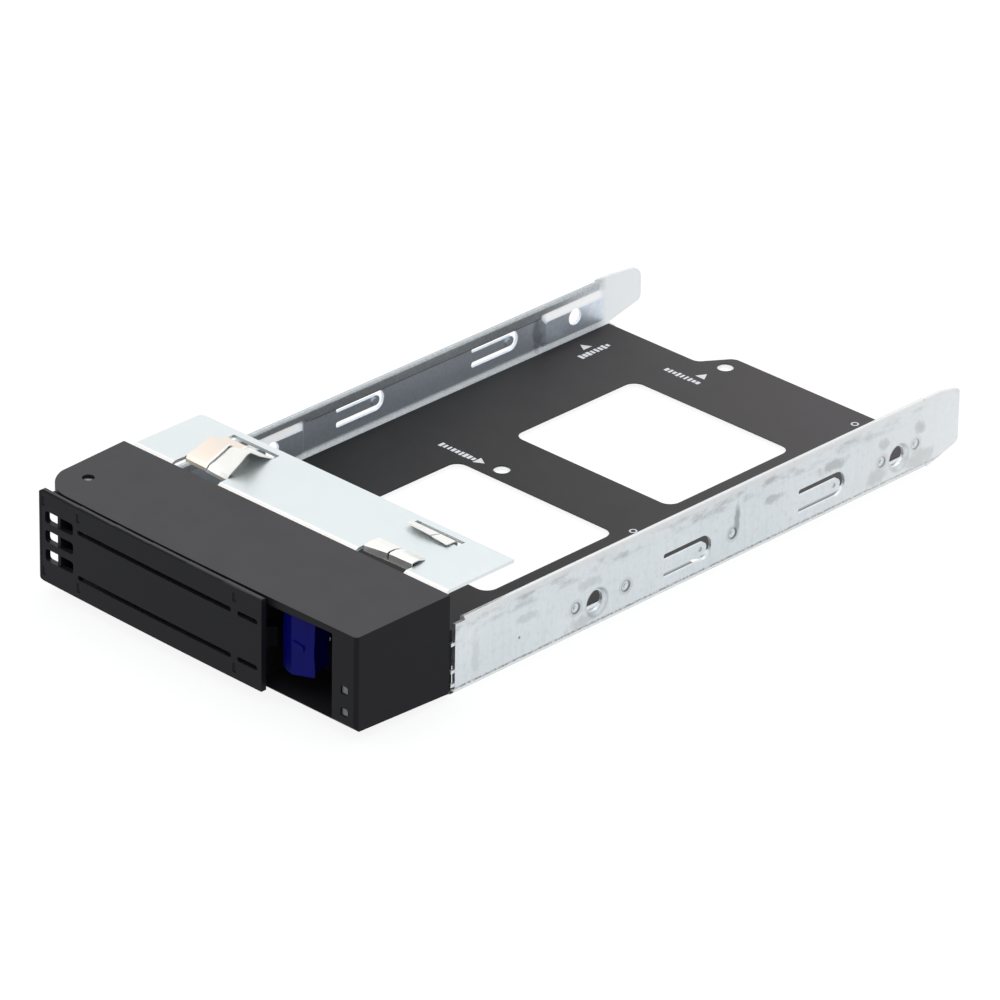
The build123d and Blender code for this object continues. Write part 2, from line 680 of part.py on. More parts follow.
def release_button():
    """The blue button: two facets that meet at an upright crease, on a square stem."""
    crease_x = button_crease_x
    front = button_front_y
    skin = button_skin
    plan = [
        (button_left_x, front + 1.5),
        (crease_x, front),
        (button_right_x, front + 1.1),
        (button_right_x - 2 * skin, front + 1.1 + 1.7 * skin),
        (button_right_x - 2 * skin, button_rear_y),
        (button_left_x + skin, button_rear_y),
        (button_left_x + skin, front + 1.5 + skin),
    ]
    face = [
        (button_left_x, button_bottom),
        (crease_x, button_bottom + 0.3),
        (button_right_x, button_bottom + button_slant),
        (button_right_x - 0.35, button_bottom + 7.0),
        (button_right_x, button_top),
        (button_left_x, button_top),
    ]
    corners = [(face[0], 1.2), (face[2], 0.6), (face[4], 0.6), (face[5], 0.6)]
    length = button_rear_y - front
    outline = extrude(Plane.XZ.offset(-button_rear_y) * rounded(face, corners), length + 1)
    body = upright(face_of(plan), button_bottom, button_top) & outline
    nib = [(0.5, 14.6), (3.4, 14.9), (3.4, 16.3), (0.5, 17.0)]
    nib = rounded(nib, [(nib[i], 0.6) for i in (1, 2)])
    run = button_right_x - crease_x
    facet = Plane(origin=(crease_x, front, 0), x_dir=(run, 1.1, 0), z_dir=(1.1, -run, 0))
    body += extrude(facet.offset(-0.5) * nib, 0.5 + nib_height)
    body += block(button_middle_x - stem_side / 2, button_middle_x + stem_side / 2, button_rear_y - 1, -10.6,
                  button_middle_z - stem_side / 2, button_middle_z + stem_side / 2)
    body += block(24.8, button_left_x + skin + 0.5, -24.0, -22.6, 12.0, 17.0)
    groove = 0.5
    for side in (-1, 1):
        edge = button_middle_x + side * stem_side / 2
        body -= block(edge - groove / 2, edge + groove / 2, retainer_y - 0.05, retainer_y + retainer_sheet + 0.05,
                      button_middle_z - stem_side, button_middle_z + stem_side)
    return body


def button_spring():
    """The compression spring between the button and the wall behind it, round the stem."""
    length = button_wall_y - button_rear_y - spring_wire - 0.2
    turns = 4
    body = coil(2.6, spring_wire, length / turns, turns)
    end_y = button_rear_y + length + spring_wire / 2 + 0.1
    return Pos(button_middle_x, end_y, button_middle_z) * Rot(90, 0, 0) * body


def button_retainer():
    """The fork that clips into the stem's grooves behind the wall and keeps the button in."""
    y0 = retainer_y
    plate = block(button_middle_x - 3.6, button_middle_x + 3.6, y0, y0 + retainer_sheet,
                  button_middle_z - 2.6, button_middle_z + 3.0)
    gap = stem_side / 2 - 0.22
    plate -= block(button_middle_x - gap, button_middle_x + gap, y0 - 1, y0 + 2,
                   button_middle_z - 4, button_middle_z + stem_side / 2 + 0.03)
    return plate


def pipe_shape(height, clearance, y0, y1):
    """A rod along Y with a light pipe's rounded outline, wider all round by the clearance."""
    wider = 2 * clearance
    outline = RectangleRounded(pipe_width + wider, pipe_height + wider, pipe_corner + clearance)
    return extrude(Plane.XZ.offset(-y1) * (Pos(pipe_x, height) * outline), y1 - y0)


def light_pipe(height):
    """A clear square rod from its window in the bezel's front back to the bezel's rear face."""
    return pipe_shape(height, 0, bezel_front_y + 0.2 + pipe_recess, -0.5)


def bezel_screw(x):
    """A pan-head screw through the bracket's front wall into the bezel's boss."""
    face = bracket_front_y + sheet
    shank = rod_y(x, face - screw_length, face + 0.1, screw_height, screw_radius)
    head = rod_y(x, face, face + screw_head_height, screw_height, screw_head_radius)
    head = fillet(head.edges().group_by(Axis.Y)[-1], 0.6)
    bottom = face + screw_head_height - 0.8
    cross = block(x - 1.3, x + 1.3, bottom, face + 4, screw_height - 0.3, screw_height + 0.3)
    cross += block(x - 0.3, x + 0.3, bottom, face + 4, screw_height - 1.3, screw_height + 1.3)
    return shank + head - cross


def keep(name, solid):
    """Writes one piece to its file, with the middle of the tray's length on Y = 0."""
    moved = Pos(0, -middle_y, 0) * solid
    count = len(moved.solids())
    if count == 1:
        moved = moved.solids()[0]
    export_step(moved, f"parts/{name}.step")
    box = moved.bounding_box()
    print(name, "solids", count, "volume", round(moved.volume, 1),
          [round(v, 2) for v in (*box.min, *box.max)])


def build():
    """Makes every piece and writes it."""
    os.makedirs("parts", exist_ok=True)
    keep("chassis", chassis())
    keep("insulation_film", insulation_film())
    keep("front_bracket", front_bracket())
    keep("clip_left", clip_left())
    keep("clip_right", clip_right())
    keep("bezel_housing", bezel_housing())
    keep("lever", lever())
    keep("lever_pin", lever_pin())
    keep("lever_spring", lever_spring())
    keep("release_button", release_button())
    keep("button_spring", button_spring())
    keep("button_retainer", button_retainer())
    for name, height in zip(("light_pipe_upper", "light_pipe_lower"), pipe_heights):
        keep(name, light_pipe(height))
    for number, x in enumerate(screw_x, 1):
        keep(f"bezel_screw_{number}", bezel_screw(x))
    for number, (x, y) in enumerate(rivet_places(), 1):
        keep(f"bracket_rivet_{number}", rivet(x, y))


build()
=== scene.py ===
# %% [markdown]
# # A hot-swap hard drive tray
# The tray is a bent channel of galvanised sheet steel with a black plastic bezel across its front.
# Its solids come from the CAD model, packed as a fixed frame in metres, so nothing is fitted by eye:
# Blender gives each solid its finish, adds the printed marks and fine pieces, and sets up the studio.

# %% Load the frame
import math

import bpy
import bmesh
from mathutils import Matrix, Vector


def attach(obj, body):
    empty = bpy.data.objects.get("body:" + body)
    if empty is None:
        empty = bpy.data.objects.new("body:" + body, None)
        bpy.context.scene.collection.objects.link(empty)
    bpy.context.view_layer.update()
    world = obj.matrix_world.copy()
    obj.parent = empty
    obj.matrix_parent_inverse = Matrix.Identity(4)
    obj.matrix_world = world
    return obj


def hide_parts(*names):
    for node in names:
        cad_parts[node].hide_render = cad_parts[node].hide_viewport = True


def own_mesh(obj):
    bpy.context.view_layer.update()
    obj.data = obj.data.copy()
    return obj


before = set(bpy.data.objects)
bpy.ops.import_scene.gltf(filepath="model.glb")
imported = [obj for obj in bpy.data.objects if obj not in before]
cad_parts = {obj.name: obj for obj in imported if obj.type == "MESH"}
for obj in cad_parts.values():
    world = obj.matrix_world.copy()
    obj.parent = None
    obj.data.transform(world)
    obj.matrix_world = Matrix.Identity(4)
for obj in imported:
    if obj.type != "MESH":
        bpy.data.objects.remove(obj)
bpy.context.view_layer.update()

# %% [markdown]
# The tray's sizes are in millimetres, as on a drawing, and the studio's are in metres. X runs across
# the tray, Z upwards, and places along Y are counted from the bezel's rear face, because the steel
# parts are all set out from there. The frame has its origin at the middle of the tray's length, which
# lies a fixed distance behind that face.

# %% Units and where Y is counted from
MM = 0.001
BEZEL_REAR = 70.75


def new_object(name, data):
    """An object in the scene that holds a mesh, a lamp or a camera."""
    item = bpy.data.objects.new(name, data)
    bpy.context.scene.collection.objects.link(item)
    return item


# %% [markdown]
# ## The camera
# The photograph was taken with a long lens from the front right and above, so parallel edges stay
# nearly parallel. A camera can be turned by hand until the two pictures agree, but the tray offers a
# surer way: its screw holes stand at a standard spacing. Two angles, a small roll and a distance were
# fitted to them, and the lens follows from how large the tray is in the frame.

# %% Place the camera
AZIMUTH = 43.862
ELEVATION = 27.311
ROLL = 0.897
DISTANCE = 1.7455
FOCAL_PIXELS = 7659.5
IMAGE_PIXELS = 1000
SENSOR = 36.0
AIM = Vector((2.65, -10.75, 12.0)) * MM
AIM_PIXEL = (477.918, 488.921)


def camera_axes(azimuth, elevation, roll):
    """The camera's right, up and backward directions, from its angles in degrees."""
    a, e, r = (math.radians(v) for v in (azimuth, elevation, roll))
    back = Vector((math.sin(a) * math.cos(e), -math.cos(a) * math.cos(e), math.sin(e)))
    level = Vector((math.cos(a), math.sin(a), 0))
    rise = back.cross(level)
    right = level * math.cos(r) + rise * math.sin(r)
    up = rise * math.cos(r) - level * math.sin(r)
    return right, up, back


camera = new_object("camera", bpy.data.cameras.new("camera"))
bpy.context.scene.camera = camera
right, up, back = camera_axes(AZIMUTH, ELEVATION, ROLL)
turn = Matrix((right, up, back)).transposed().to_4x4()
camera.matrix_world = Matrix.Translation(AIM + back * DISTANCE) @ turn
camera.data.sensor_width = SENSOR
camera.data.lens = FOCAL_PIXELS / IMAGE_PIXELS * SENSOR
camera.data.shift_x = 0.5 - AIM_PIXEL[0] / IMAGE_PIXELS
camera.data.shift_y = AIM_PIXEL[1] / IMAGE_PIXELS - 0.5
camera.data.clip_start = 0.1
camera.data.clip_end = 20
print("lens in mm", round(camera.data.lens, 1))

# %% [markdown]
# ## Helpers for materials
# Every finish is a small graph of nodes. The graph could be wired by hand in the shader editor, but a
# few helpers make each material below read as a list of what it is made of. The first adds a node
# and fills its inputs, and the others give a point, a sum, a stretched value or a mix of two colours.

# %% Node helpers


def add(tree, kind, inputs=None, **settings):
    """Adds a node of a kind, sets its properties and fills the inputs by name or number."""
    node = tree.nodes.new(kind)
    for name, value in settings.items():
        setattr(node, name, value)
    for key, value in (inputs or {}).items():
        socket = node.inputs[key]
        if isinstance(value, bpy.types.NodeSocket):
            tree.links.new(value, socket)
        else:
            socket.default_value = value
    return node


def new_material(name):
    """An empty material with its output and a Principled BSDF, and its tree."""
    material = bpy.data.materials.new(name)
    material.use_nodes = True
    tree = material.node_tree
    tree.nodes.clear()
    shader = add(tree, "ShaderNodeBsdfPrincipled")
    add(tree, "ShaderNodeOutputMaterial", {"Surface": shader.outputs[0]})
    return material, tree, shader


def in_millimetres(tree, scale=(1, 1, 1)):
    """The point on the surface in millimetres, with y from the bezel's rear, stretched per axis."""
    place = add(tree, "ShaderNodeTexCoord")
    size = [s / MM for s in scale]
    shift = (0, BEZEL_REAR * scale[1], 0)
    inputs = {"Vector": place.outputs["Object"], "Location": shift, "Scale": size}
    return add(tree, "ShaderNodeMapping", inputs).outputs[0]


def split(tree, vector):
    """The x, y and z of a vector."""
    return add(tree, "ShaderNodeSeparateXYZ", {0: vector}).outputs


def surface_direction(tree):
    """The x, y and z of the direction that the surface faces."""
    return split(tree, add(tree, "ShaderNodeNewGeometry").outputs["Normal"])


def maths(tree, operation, first, second=0.0):
    """Two values joined by an operation."""
    return add(tree, "ShaderNodeMath", {0: first, 1: second}, operation=operation).outputs[0]


def vector_maths(tree, operation, first, second):
    """Two vectors joined by an operation."""
    return add(tree, "ShaderNodeVectorMath", {0: first, 1: second}, operation=operation).outputs[0]


def ramp(tree, value, low, high, at_low=0.0, at_high=1.0):
    """A value stretched from one range to another, and held at its ends."""
    inputs = {0: value, 1: low, 2: high, 3: at_low, 4: at_high}
    return add(tree, "ShaderNodeMapRange", inputs, clamp=True).outputs[0]


def mix_colour(tree, share, first, second):
    """One colour mixed into another by a share."""
    node = add(tree, "ShaderNodeMix", data_type="RGBA")
    for key, value in ((0, share), (6, first), (7, second)):
        if isinstance(value, bpy.types.NodeSocket):
            tree.links.new(value, node.inputs[key])
        else:
            node.inputs[key].default_value = value
    return node.outputs[2]


def darker(colour, share):
    """A colour brought down to a share of its brightness."""
    return tuple(c * share for c in colour[:3]) + (1,)


def lay(tree, colour, over, mask, strength):
    """A colour with another laid over it where a mask says, no stronger than the strength."""
    return mix_colour(tree, maths(tree, "MULTIPLY", mask, strength), colour, over)


print("helpers ready")

# %% [markdown]
# ## Effects that several finishes share
# Zinc, plastic and film are all a little cloudy, plastic and film are grainy too, and the steel has
# bands, smudges and rings from the press and from use. Each effect could be built again in every
# material, but a node group is made once, takes its own numbers at each use and is mended in one place.

# %% How a shared group is made and placed


def new_group(name, inputs, outputs):
    """An empty shader group with named inputs and outputs, its tree and its two end nodes."""
    tree = bpy.data.node_groups.new(name, "ShaderNodeTree")
    for label, kind, value in inputs:
        socket = tree.interface.new_socket(label, in_out="INPUT", socket_type=kind)
        if value is not None:
            socket.default_value = value
    for label, kind in outputs:
        tree.interface.new_socket(label, in_out="OUTPUT", socket_type=kind)
    start = tree.nodes.new("NodeGroupInput")
    end = tree.nodes.new("NodeGroupOutput")
    return tree, start, end


def group_node(tree, group, *values):
    """Places one of the shared groups, fills its inputs in order and gives its first output."""
    node = tree.nodes.new("ShaderNodeGroup")
    node.node_tree = group
    for socket, value in zip(node.inputs, values):
        if isinstance(value, bpy.types.NodeSocket):
            tree.links.new(value, socket)
        else:
            socket.default_value = value
    return node.outputs[0]


print("group helpers ready")

# %% [markdown]
# Cloud gives soft patches of a chosen size, for zinc, plastic and film alike. Grain gives a surface
# direction that is slightly rough, as moulded plastic has. Both start from noise, which has no pattern
# that the eye could follow.

# %% Clouds and grain


def make_cloud():
    """Soft patches from 0 to 1: broad noise with finer noise on top."""
    tree, start, end = new_group(
        "Cloud",
        [("Vector", "NodeSocketVector", None), ("Size", "NodeSocketFloat", 20.0),
         ("Contrast", "NodeSocketFloat", 0.5)],
        [("Patches", "NodeSocketFloat")],
    )
    vector, size, contrast = start.outputs[:3]
    rate = maths(tree, "DIVIDE", 1.0, size)
    inputs = {"Vector": vector, "Scale": rate, "Detail": 5.0, "Roughness": 0.62}
    noise = add(tree, "ShaderNodeTexNoise", inputs).outputs[0]
    low = maths(tree, "MULTIPLY", 0.5, contrast)
    high = maths(tree, "SUBTRACT", 1.0, low)
    tree.links.new(ramp(tree, noise, low, high), end.inputs[0])
    return tree


def make_grain():
    """A normal that gives a surface fine roughness of a chosen size and height, in millimetres."""
    tree, start, end = new_group(
        "Grain",
        [("Vector", "NodeSocketVector", None), ("Size", "NodeSocketFloat", 0.5),
         ("Height", "NodeSocketFloat", 0.02)],
        [("Normal", "NodeSocketVector")],
    )
    vector, size, height = start.outputs[:3]
    rate = maths(tree, "DIVIDE", 1.0, size)
    inputs = {"Vector": vector, "Scale": rate, "Detail": 3.0, "Roughness": 0.6}
    noise = add(tree, "ShaderNodeTexNoise", inputs).outputs[0]
    metres = maths(tree, "MULTIPLY", height, MM)
    bump = add(tree, "ShaderNodeBump", {"Strength": 1.0, "Distance": metres, "Height": noise})
    tree.links.new(bump.outputs[0], end.inputs[0])
    return tree


cloud_group = make_cloud()
grain_group = make_grain()
print("made", cloud_group.name, grain_group.name)

# %% [markdown]
# Band marks the stretch between two values, such as two heights, Stain a smudge with a ragged edge,
# and Ring a circle round a hole or a pressed mark. They put out masks from 0 to 1, and each material
# decides which colour goes there.

# %% Bands, stains and rings
STAIN_RAGGED = 1.6
STAIN_EDGE = (1.15, 0.55)


def make_band():
    """1 between two values and 0 outside them, with soft ends."""
    tree, start, end = new_group(
        "Band",
        [("Value", "NodeSocketFloat", None), ("Low", "NodeSocketFloat", 0.0),
         ("High", "NodeSocketFloat", 1.0), ("Soft", "NodeSocketFloat", 0.3)],
        [("Mask", "NodeSocketFloat")],
    )
    value, low, high, soft = start.outputs[:4]
    rise = ramp(tree, value, maths(tree, "SUBTRACT", low, soft), low)
    fall = ramp(tree, value, high, maths(tree, "ADD", high, soft), 1.0, 0.0)
    tree.links.new(maths(tree, "MULTIPLY", rise, fall), end.inputs[0])
    return tree


def make_stain():
    """A smudge round a place, with a ragged edge, as far as its reach along each axis."""
    tree, start, end = new_group(
        "Stain",
        [("Vector", "NodeSocketVector", None), ("Place", "NodeSocketVector", None),
         ("Reach", "NodeSocketVector", None)],
        [("Mask", "NodeSocketFloat")],
    )
    vector, place, reach = start.outputs[:3]
    away = vector_maths(tree, "SUBTRACT", vector, place)
    away = vector_maths(tree, "DIVIDE", away, reach)
    length = add(tree, "ShaderNodeVectorMath", {0: away}, operation="LENGTH").outputs["Value"]
    noise = add(tree, "ShaderNodeTexNoise", {"Vector": vector, "Scale": 0.6, "Detail": 4.0}).outputs[0]
    inputs = {0: noise, 1: STAIN_RAGGED, 2: -STAIN_RAGGED / 2}
    ragged = add(tree, "ShaderNodeMath", inputs, operation="MULTIPLY_ADD").outputs[0]
    mask = ramp(tree, maths(tree, "ADD", length, ragged), *STAIN_EDGE)
    tree.links.new(mask, end.inputs[0])
    return tree


def make_ring():
    """A ring of a chosen radius and width round a place on a side wall, seen along x."""
    tree, start, end = new_group(
        "Ring",
        [("Vector", "NodeSocketVector", None), ("Place", "NodeSocketVector", None),
         ("Radius", "NodeSocketFloat", 1.5), ("Width", "NodeSocketFloat", 0.3)],
        [("Mask", "NodeSocketFloat")],
    )
    vector, place, radius, width = start.outputs[:4]
    away = vector_maths(tree, "SUBTRACT", vector, place)
    away = vector_maths(tree, "MULTIPLY", away, (0, 1, 1))
    length = add(tree, "ShaderNodeVectorMath", {0: away}, operation="LENGTH").outputs["Value"]
    off = maths(tree, "ABSOLUTE", maths(tree, "SUBTRACT", length, radius))
    mask = maths(tree, "SUBTRACT", 1.0, maths(tree, "DIVIDE", off, width))
    tree.links.new(maths(tree, "MAXIMUM", mask, 0.0), end.inputs[0])
    return tree


band_group = make_band()
stain_group = make_stain()
ring_group = make_ring()
print("made", band_group.name, stain_group.name, ring_group.name)

# %% [markdown]
# In the materials each group is placed by a short call of its own name.

# %% Calls that place the groups


def cloud(tree, point, size, contrast=0.5):
    """Soft patches of a size in millimetres."""
    return group_node(tree, cloud_group, point, size, contrast)


def grain(tree, point, size, height):
    """The slightly rough surface direction of a moulded face."""
    return group_node(tree, grain_group, point, size, height)


def band(tree, value, low, high, soft):
    """A mask between two values, with soft ends outside them."""
    return group_node(tree, band_group, value, low, high, soft)


def stain(tree, point, place, reach):
    """A mask for a ragged smudge."""
    return group_node(tree, stain_group, point, place, reach)


def ring(tree, point, place, radius, width):
    """A mask for a ring on a side wall."""
    return group_node(tree, ring_group, point, place, radius, width)


print("groups", [g.name for g in bpy.data.node_groups])

# %% [markdown]
# ## Galvanised steel
# The bracket and the channel are cut from sheet that was dipped in zinc: pale, hazy and smooth, with
# faint cloudy patches. A flat grey metal would look like painted plastic, so two close greys are mixed
# by a broad and a fine cloud, and the fine one also makes the shine uneven.

# %% The sheet's colour and the bracket's plate
STEEL_METALLIC = 0.9
PLATE_GREYS = ((0.77, 0.815, 0.82, 1), (0.74, 0.79, 0.8, 1))
PLATE_EDGE = (0.5, 3.6)
PLATE_BEND = (1.7, 0.9)
SCRATCH_GREY = (0.5, 0.47, 0.45, 1)
BEND_GREY = (0.86, 0.84, 0.82, 1)


def sheet_colour(tree, point, pale, dark):
    """The colour of zinc-coated sheet, and its fine cloud, which the shine uses too."""
    broad = cloud(tree, point, 24.0)
    fine = cloud(tree, point, 1.1, 0.4)
    colour = mix_colour(tree, broad, dark, pale)
    return mix_colour(tree, ramp(tree, fine, 0.45, 0.95, 0.0, 0.35), colour, dark), fine


def make_plate_zinc():
    """Clean zinc on the bracket, with a few faint scratches near the plate's front edge."""
    material, tree, shader = new_material("galvanised_plate")
    point = in_millimetres(tree)
    y = split(tree, point)[1]
    colour, fine = sheet_colour(tree, point, *PLATE_GREYS)
    lines = cloud(tree, in_millimetres(tree, (0.12, 1.4, 1.0)), 1.6)
    near_edge = band(tree, y, *PLATE_EDGE, 1.0)
    colour = lay(tree, colour, SCRATCH_GREY, ramp(tree, lines, 0.72, 0.95, 0.0, 0.35), near_edge)
    colour = mix_colour(tree, ramp(tree, y, *PLATE_BEND), colour, BEND_GREY)
    tree.links.new(colour, shader.inputs["Base Color"])
    tree.links.new(ramp(tree, fine, 0.0, 1.0, 0.3, 0.42), shader.inputs["Roughness"])
    shader.inputs["Metallic"].default_value = STEEL_METALLIC
    return material


plate_zinc = make_plate_zinc()
print("made", plate_zinc.name)

# %% [markdown]
# The channel's right wall has slid in its bay, so it has fine upright streaks and grey smudges. It also
# has a darker blotchy band along its top with specks below it, and where the bottom bend starts a
# dotted painted shadow in the gap, with a painted highlight on the bend below. Its two screw holes
# have a shaded rim, and five small pressed marks have a dark ring with a halo. A painted picture of
# the wall would blur close up, so each mark is a place and a size that a shader can draw.

# %% Where the right wall is marked
RIGHT_WALL_TOP = 19.0
RIGHT_WALL_X = 52
BEND_LINE = 2.1
PAD_MIDDLES = [46.9, 148.5]
HOLE_HEIGHT = 6.8
HOLE_RIM = 3.5
CLINCHES = [(40.0, 7.8), (56.3, 7.4), (91.6, 7.8), (142.4, 7.8), (154.2, 8.3)]
CLINCH_RING = 1.35
CLINCH_HALO = 2.0
THROUGH_WALL = 30
# What is smudged, how far back and how high it is, its reach both ways, and its strength
STAINS = [
    ("above the third mark", 92.8, 11.2, 1.1, 3.4, 0.85),
    ("over the rear slot", 125.6, 12.9, 5.2, 1.5, 0.65),
    ("before the rear slot", 105.2, 11.8, 3.4, 1.2, 0.5),
    ("at the tip", 155.8, 12.3, 1.9, 1.8, 0.9),
    ("below the last mark", 156.0, 4.2, 5.4, 2.4, 0.65),
    ("beside the rear hole", 143.0, 12.0, 2.2, 1.8, 0.6),
    ("below the rear hole", 141.0, 4.4, 3.6, 2.4, 0.5),
    ("above the front hole", 45.0, 12.6, 4.0, 1.5, 0.3),
    ("before the front hole", 24.5, 11.6, 3.4, 1.3, 0.3),
    ("at the front edge", 8.0, 8.0, 1.4, 6.0, 0.2),
    ("below the front hole", 42.0, 3.6, 5.0, 1.6, 0.35),
]
print(len(STAINS), "smudges and", len(CLINCHES), "pressed marks")

# %% [markdown]
# The general wear goes on first and the single marks over it. The upright streaks are a cloud that is
# stretched upwards, which costs no more than a round one and has no two streaks alike.

# %% The right wall's marks
STREAK_GREY = (0.46, 0.5, 0.53, 1)
LILAC_GREY = (0.7, 0.73, 0.79, 1)
SPOT_GREY = (0.5, 0.53, 0.55, 1)
DARK_TOP_BAND_GREY = (0.36, 0.37, 0.38, 1)
TOP_EDGE_GREY = (0.74, 0.72, 0.7, 1)
BEND_GAP_SHADOW_GREY = (0.2, 0.21, 0.22, 1)
PAINTED_BEND_HIGHLIGHT = (0.93, 0.94, 0.94, 1)
SMUDGE_GREY = (0.33, 0.35, 0.36, 1)
RIM_GREY = (0.38, 0.39, 0.4, 1)
CLINCH_DARK = (0.25, 0.25, 0.25, 1)
CLINCH_SOFT = (0.42, 0.41, 0.4, 1)


def wall_wear_and_bend_light(tree, point, z, colour):
    """Streaks, patches, the darker band along the top, and painted shadow and highlight at the bend."""
    streaks = cloud(tree, in_millimetres(tree, (0.2, 1.0, 0.07)), 0.6)
    streaky = cloud(tree, point, 9.0)
    colour = lay(tree, colour, STREAK_GREY, ramp(tree, streaks, 0.4, 0.9, 0.0, 0.3), streaky)
    lilac = cloud(tree, point, 6.0)
    colour = mix_colour(tree, ramp(tree, lilac, 0.5, 0.9, 0.0, 0.5), colour, LILAC_GREY)
    spots = cloud(tree, point, 1.6)
    colour = mix_colour(tree, ramp(tree, spots, 0.55, 0.95, 0.0, 0.35), colour, SPOT_GREY)
    # A darker blotchy band just below the top edge.
    blotches = cloud(tree, in_millimetres(tree, (1.0, 0.4, 1.0)), 2.6, 0.45)
    near_top = band(tree, z, RIGHT_WALL_TOP - 3.6, RIGHT_WALL_TOP - 1.5, 1.2)
    colour = lay(tree, colour, DARK_TOP_BAND_GREY, ramp(tree, blotches, 0.45, 0.8, 0.0, 0.65), near_top)
    top_edge = band(tree, z, RIGHT_WALL_TOP - 1.2, RIGHT_WALL_TOP + 1.0, 0.4)
    colour = lay(tree, colour, TOP_EDGE_GREY, top_edge, 0.5)
    # Painted shadow: a dotted dark line in the gap where the outer strip meets the bottom bend.
    gap_shadow_dots = cloud(tree, in_millimetres(tree, (1.0, 0.6, 1.0)), 0.5)
    bend = band(tree, z, BEND_LINE - 0.15, BEND_LINE + 0.15, 0.3)
    colour = lay(tree, colour, BEND_GAP_SHADOW_GREY, ramp(tree, gap_shadow_dots, 0.32, 0.6, 0.1, 0.8), bend)
    # Painted highlight: the bend below that line is painted paler, as if it caught the light.
    painted_bend_highlight_mask = ramp(tree, z, BEND_LINE - 0.3, BEND_LINE - 0.7, 0.0, 0.8)
    return mix_colour(tree, painted_bend_highlight_mask, colour, PAINTED_BEND_HIGHLIGHT)


def wall_marks(tree, point, colour):
    """Smudges, the holes' rims and the rings of the pressed marks."""
    for _, along, height, reach, rise, strength in STAINS:
        smudge = stain(tree, point, (RIGHT_WALL_X, along, height), (THROUGH_WALL, reach, rise))
        colour = lay(tree, colour, SMUDGE_GREY, smudge, strength)
    for along in PAD_MIDDLES:
        rim = ring(tree, point, (RIGHT_WALL_X, along, HOLE_HEIGHT), HOLE_RIM, 0.4)
        colour = lay(tree, colour, RIM_GREY, rim, 0.55)
    for along, height in CLINCHES:
        place = (RIGHT_WALL_X, along, height)
        colour = lay(tree, colour, CLINCH_DARK, ring(tree, point, place, CLINCH_RING, 0.45), 0.75)
        colour = lay(tree, colour, CLINCH_SOFT, ring(tree, point, place, CLINCH_HALO, 0.45), 0.35)
    return colour


print("the right wall has", len(STAINS) + len(PAD_MIDDLES) + 2 * len(CLINCHES), "marks of its own")

# %% [markdown]
# Inside, the left wall is a darker blue grey, painted as the shade it lies in. Its hem and its lower
# bend are speckled, a painted shadow line runs below the hem, the bevels of its two pads carry a
# painted highlight with a painted shadow before each pad, and its tip is painted paler, as if lit. The
# pads stand opposite the right wall's screw holes, so both walls share one list of places.

# %% The left wall's colour
LEFT_WALL_X = -51
LEFT_HEM_BOTTOM = 10.1
HEM_SHADOW_SPAN = (60.0, 136.0)
PAD_HALF = 11.1
PAD_HIGHLIGHT_HEIGHTS = (9.2, 10.4)
TIP_LIGHT_SPAN = (157.0, 160.5)
SHADED_BLUE_GREYS = ((0.76, 0.83, 0.91, 1), (0.64, 0.71, 0.79, 1))
SPECK_GREYS = ((0.36, 0.39, 0.41, 1), (0.62, 0.66, 0.68, 1))
HEM_SHADOW_BLACK = (0.06, 0.07, 0.08, 1)
PAINTED_BEVEL_HIGHLIGHT = (0.96, 0.97, 0.98, 1)
PAINTED_PAD_SHADOW = (0.2, 0.22, 0.25, 1)
PAINTED_TIP_LIGHT = (0.8, 0.83, 0.84, 1)


def left_wall_colour(tree, point, fine):
    """The left wall's inner face, from its hem to its bend and from its pads to its tip, with painted shade
    and highlights.
    """
    y, z = split(tree, point)[1:3]
    # Painted shade: the inner face gets a bluer grey of its own, standing in for the tray's shade.
    colour = mix_colour(tree, ramp(tree, fine, 0.3, 0.9), *SHADED_BLUE_GREYS)
    speckled = mix_colour(tree, cloud(tree, point, 0.45), *SPECK_GREYS)
    hem = ramp(tree, z, LEFT_HEM_BOTTOM - 0.05, LEFT_HEM_BOTTOM + 0.05)
    low_bend = ramp(tree, z, BEND_LINE + 0.4, BEND_LINE)
    colour = mix_colour(tree, maths(tree, "MAXIMUM", hem, low_bend), colour, speckled)
    # Painted shadow: a dark line just below the hem.
    line = band(tree, z, LEFT_HEM_BOTTOM - 0.12, LEFT_HEM_BOTTOM + 0.12, 0.1)
    line = maths(tree, "MULTIPLY", line, band(tree, y, *HEM_SHADOW_SPAN, 1.0))
    colour = lay(tree, colour, HEM_SHADOW_BLACK, line, 0.85)
    for middle in PAD_MIDDLES:
        # Painted highlight: each pad's upper bevel is painted near white.
        on_pad = band(tree, y, middle - PAD_HALF + 1.6, middle + PAD_HALF - 2.4, 2.0)
        # Painted shadow: a soft dark patch just before each pad.
        pad_shadow = stain(tree, point, (LEFT_WALL_X, middle - PAD_HALF - 1.2, 6.0), (THROUGH_WALL, 1.6, 5.0))
        colour = lay(tree, colour, PAINTED_BEVEL_HIGHLIGHT, on_pad, band(tree, z, *PAD_HIGHLIGHT_HEIGHTS, 1.0))
        colour = lay(tree, colour, PAINTED_PAD_SHADOW, pad_shadow, 0.6)
    # Painted light: the tip is painted paler, as if it caught the light.
    return mix_colour(tree, ramp(tree, y, *TIP_LIGHT_SPAN), colour, PAINTED_TIP_LIGHT)


print("the left wall's pads are at", PAD_MIDDLES)

# %% [markdown]
# One solid has all these surfaces, so one material has to tell them apart. It asks where the point is
# and which way the surface faces there: both the right wall's outside and the left wall's inside face
# to the right. The right wall is painted paler towards the rear as painted light, the floor's bare
# strip beside the film is painted dark as its shadow, and the windows' cut edges are painted near
# white as a painted highlight.

